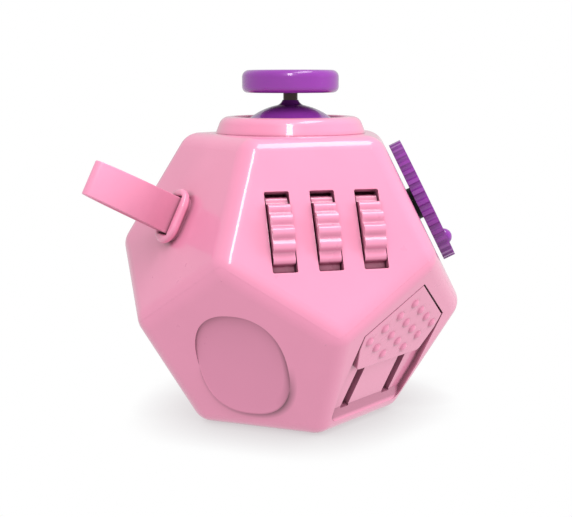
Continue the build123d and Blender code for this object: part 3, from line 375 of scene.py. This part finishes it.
def smooth_closed(points, steps=8):
    """A closed Catmull-Rom curve through the points."""
    out, count = [], len(points)
    for i in range(count):
        p0, p1, p2, p3 = (Vector(points[(i + k) % count]) for k in (-1, 0, 1, 2))
        for k in range(steps):
            t = k / steps
            out.append(0.5 * (2 * p1 + (p2 - p0) * t + (2 * p0 - 5 * p1 + 4 * p2 - p3) * t ** 2
                              + (3 * p1 - p0 - 3 * p2 + p3) * t ** 3))
    return out


# The strap is drawn in millimetres in its face's frame: x across its loop, y along its width, z outward.
PIN_Z, WRAP_RADIUS = -3.2, 0.975  # the pin that the strap is looped round, and the middle of its wrap
WRAP_HALF_THICK, WRAP_HALF_WIDE = 0.31, 2.0
STRAP_REACH = 15.6
STRAP_HALF_THICK, STRAP_CORNER = 0.4, 0.17
STRAP_HALF_WIDE, STRAP_TAPER = 2.89, 0.29  # at the face, and how much less it is at the tip
WIDENING = (-2.4, -1.0)  # the wrap widens to the strap between these heights


def strap_path():
    """The middle line of the band: round its pin, out through the grommet, folded at the tip and back."""
    right_side = [(0.7, PIN_Z - 0.68), (WRAP_RADIUS, PIN_Z), (0.82, -2.3), (0.52, -1.2), (0.64, 0.0),
                  (0.92, 0.9), (1.01, 1.9), (1.06, 3.0), (1.3, 6.0), (1.44, 9.2), (1.27, 12.2),
                  (0.9, 14.0), (0.6, STRAP_REACH - 0.62)]
    left_side = [(-x, z) for x, z in reversed(right_side)]
    return [(0.0, PIN_Z - WRAP_RADIUS), *right_side, (0.0, STRAP_REACH - STRAP_HALF_THICK), *left_side]


def strap():
    """One band of silicone, swept along its path. Its along layer runs from 0 at the face to 1 at its tip.

    It stays on its pin, and bends where it leaves the grommet.
    """
    stations = smooth_closed(strap_path())
    bm = bmesh.new()
    along = bm.verts.layers.float.new("along")
    rings = []
    for i, here in enumerate(stations):
        travel = (stations[(i + 1) % len(stations)] - stations[i - 1]).normalized()
        across = Vector((travel.y, -travel.x))
        share = max(0.0, here.y / STRAP_REACH)
        widened = min(1.0, max(0.0, (here.y - WIDENING[0]) / (WIDENING[1] - WIDENING[0])))
        half_wide = WRAP_HALF_WIDE + widened * (STRAP_HALF_WIDE - STRAP_TAPER * share - WRAP_HALF_WIDE)
        half_thick = WRAP_HALF_THICK + widened * (STRAP_HALF_THICK - WRAP_HALF_THICK)
        ring = []
        for u, v in rounded_section(half_thick, half_wide, STRAP_CORNER):
            vert = bm.verts.new(((here.x + across.x * u) * MM, v * MM, (here.y + across.y * u) * MM))
            vert[along] = share
            ring.append(vert)
        rings.append(ring)
    for i, ring in enumerate(rings):
        after = rings[(i + 1) % len(rings)]
        for j, vert in enumerate(ring):
            k = (j + 1) % len(ring)
            bm.faces.new((vert, ring[k], after[k], after[j]))
    place = face_matrix(STRAP_AZIMUTH, RING_TILT)
    piece = finish_piece("key_ring_strap", bm, place, "silicone_pink")
    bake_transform(piece)
    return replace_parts(piece, "strap_loop", "strap_root")


def turned(bm, profile, x, y, count):
    """A profile of radii and heights, turned about an upright line and closed where the radius is 0."""
    angles = [2 * math.pi * k / count for k in range(count)]
    rings = [[bm.verts.new(((x + r * math.cos(a)) * MM, (y + r * math.sin(a)) * MM, z * MM)) for a in angles]
             for r, z in profile if r > 0]
    for one, two in zip(rings, rings[1:]):
        for k in range(count):
            bm.faces.new((one[k], one[(k + 1) % count], two[(k + 1) % count], two[k]))
    for (r, z), ring in ((profile[0], rings[0]), (profile[-1], rings[-1])):
        if r == 0:
            hub = bm.verts.new((x * MM, y * MM, z * MM))
            for k in range(count):
                bm.faces.new((hub, ring[k], ring[(k + 1) % count]))


# The foot pad is drawn in millimetres too.
PAD_ROUND, PAD_BACK_CORNER = 0.3, 0.15  # at its outer edge, toward the table and toward the body
PAD_BORDER, PAD_MARGIN = 1.2, 1.5  # its plain border, and how far in the middles of the outer nubs are
NUB_PITCH, NUB_RADIUS, NUB_HEIGHT = 2.7, 0.8, 0.5
NUB_FLARE = ((0.22, 0.01), (0.07, -0.02))  # how much wider its foot is, and at what height over the skin


def foot_pad():
    """A round silicone pad under the body, with a hexagonal field of soft nubs that point down."""
    low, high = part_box("nub_pad")
    radius = (high.x - low.x) / 2 / MM
    tips, back = low.z / MM, high.z / MM
    skin = tips + NUB_HEIGHT
    bm = bmesh.new()
    quarter = [math.radians(a) for a in range(0, 91, 15)]
    edge = [(radius - PAD_ROUND * (1 - math.sin(a)), skin + PAD_ROUND * (1 - math.cos(a))) for a in quarter]
    body = [(0, skin), (radius - PAD_BORDER, skin), *edge, (radius, back - PAD_BACK_CORNER),
            (radius - PAD_BACK_CORNER, back), (0, back)]
    turned(bm, body, 0, 0, 96)
    flare = [(NUB_RADIUS + wider, skin + height) for wider, height in NUB_FLARE]
    rise = [math.radians(a) for a in range(10, 90, 16)]
    dome = [(NUB_RADIUS * math.cos(a), skin - NUB_HEIGHT * math.sin(a)) for a in rise]
    reach = math.ceil(radius / NUB_PITCH)
    for row in range(-reach, reach + 1):
        for column in range(-reach, reach + 1):
            x = (column + row % 2 / 2) * NUB_PITCH
            y = row * NUB_PITCH * math.sqrt(3) / 2
            if math.hypot(x, y) < radius - PAD_MARGIN:
                turned(bm, [*flare, *dome, (0, tips)], x, y, 20)
    piece = finish_piece("foot_pad", bm, Matrix.Identity(4), "silicone_purple")
    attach(piece, "case")
    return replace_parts(piece, "nub_pad")


strap()
foot_pad()


# ---------------------------------------------------------------- stage, light and camera

WHITE = (1, 1, 1, 1)
WALLS, TABLE = 0.65, 0.8  # how bright the white room and its table are to the object
TABLE_TINT, TABLE_SHADOW = (0.97, 0.95, 0.96), (0.62, 0.56, 0.58)
TABLE_HALF, SHADOW_REACH = 3.0, 12 * MM


def floor():
    """A pale table under the object. It glows white but for a painted soft contact shadow, and is clear from
    below.
    """
    corners = [(sx * TABLE_HALF, sy * TABLE_HALF, 0) for sx, sy in ((-1, -1), (1, -1), (1, 1), (-1, 1))]
    mesh = bpy.data.meshes.new("table_top")
    mesh.from_pydata(corners, [], [(0, 1, 2, 3)])
    table = bpy.data.objects.new("table_top", mesh)
    table.location.z = cad_box[0].z - 0.05 * MM
    bpy.context.scene.collection.objects.link(table)
    n = Nodes("pale_table")
    open_sky = n.open_sky(SHADOW_REACH, samples=16)
    shown = n.mix(n.spread(open_sky, 0.0, 0.9, 1, 0), WHITE, tint(TABLE_SHADOW))
    seen = n.add("LightPath").outputs["Is Camera Ray"]
    strength = n.spread(seen, 0, 1, TABLE, 1)
    glow = n.add("Emission", Color=n.mix(seen, tint(TABLE_TINT), shown), Strength=strength)
    from_below = n.add("MixShader", Fac=n.add("NewGeometry").outputs["Backfacing"])
    n.put(from_below.inputs[1], glow.outputs["Emission"])
    n.put(from_below.inputs[2], n.add("BsdfTransparent").outputs["BSDF"])
    n.put(n.tree.nodes["Material Output"].inputs["Surface"], from_below.outputs["Shader"])
    mesh.materials.append(n.material)


LAMP_DISTANCE = 0.5


def softbox(name, toward, strength, width, height):
    """An area light aimed at the object. At strength 1, white paper that faces it shows as white."""
    light = bpy.data.lights.new(name, "AREA")
    light.shape = "RECTANGLE"
    light.size, light.size_y = width, height
    light.energy = strength * (math.pi * LAMP_DISTANCE) ** 2
    lamp = bpy.data.objects.new(name, light)
    away = Vector(toward).normalized()
    lamp.location = CENTRE + away * LAMP_DISTANCE
    lamp.rotation_euler = away.to_track_quat("Z", "Y").to_euler()
    bpy.context.scene.collection.objects.link(lamp)
    return lamp


def lights():
    """A narrow key light that runs down the front edge, one overhead, and a fill that shows no highlight."""
    softbox("key", toward=(-0.2, -0.69, 0.7), strength=0.42, width=0.07, height=0.34)
    softbox("overhead", toward=(0.25, -0.15, 0.95), strength=0.3, width=0.3, height=0.12)
    fill = softbox("right_fill", toward=(0.85, -0.38, 0.36), strength=0.45, width=0.12, height=0.4)
    fill.visible_glossy = False


def white_room():
    """The world: a soft white light from all sides, and pure white to the camera."""
    world = bpy.data.worlds.new("white_room")
    bpy.context.scene.world = world
    world.use_nodes = True
    tree = world.node_tree
    walls = tree.nodes["Background"]
    walls.inputs["Color"].default_value = WHITE
    walls.inputs["Strength"].default_value = WALLS
    backdrop = tree.nodes.new("ShaderNodeBackground")
    backdrop.inputs["Color"].default_value = WHITE
    both = tree.nodes.new("ShaderNodeMixShader")
    tree.links.new(tree.nodes.new("ShaderNodeLightPath").outputs["Is Camera Ray"], both.inputs["Fac"])
    tree.links.new(walls.outputs["Background"], both.inputs[1])
    tree.links.new(backdrop.outputs["Background"], both.inputs[2])
    tree.links.new(both.outputs["Shader"], tree.nodes["World Output"].inputs["Surface"])


CAMERA_AZIMUTH, CAMERA_ELEVATION, CAMERA_ROLL = (math.radians(a) for a in (-14.655, 9.919, 0.11))
CAMERA_DISTANCE, CAMERA_NEAR = 0.17746, 5 * MM
CAMERA_LENS, CAMERA_SENSOR = 69.41, 36.0
CAMERA_SHIFT = (-0.00833, 0.02337)


def camera():
    """The photograph's point of view: a little to the left of the rollers' face, and a little above it."""
    back = Vector((math.sin(CAMERA_AZIMUTH) * math.cos(CAMERA_ELEVATION),
                   -math.cos(CAMERA_AZIMUTH) * math.cos(CAMERA_ELEVATION), math.sin(CAMERA_ELEVATION)))
    right = Matrix.Rotation(-CAMERA_ROLL, 3, back) @ Vector((0, 0, 1)).cross(back).normalized()
    lens = bpy.data.cameras.new("camera")
    lens.sensor_width, lens.lens = CAMERA_SENSOR, CAMERA_LENS
    lens.shift_x, lens.shift_y = CAMERA_SHIFT
    lens.clip_start = CAMERA_NEAR
    eye = bpy.data.objects.new("camera", lens)
    eye.matrix_world = Matrix((right, back.cross(right), back)).transposed().to_4x4()
    eye.location = CENTRE + back * CAMERA_DISTANCE
    bpy.context.scene.collection.objects.link(eye)
    bpy.context.scene.camera = eye


floor()
lights()
white_room()
camera()
bpy.context.scene.view_settings.view_transform = "Standard"
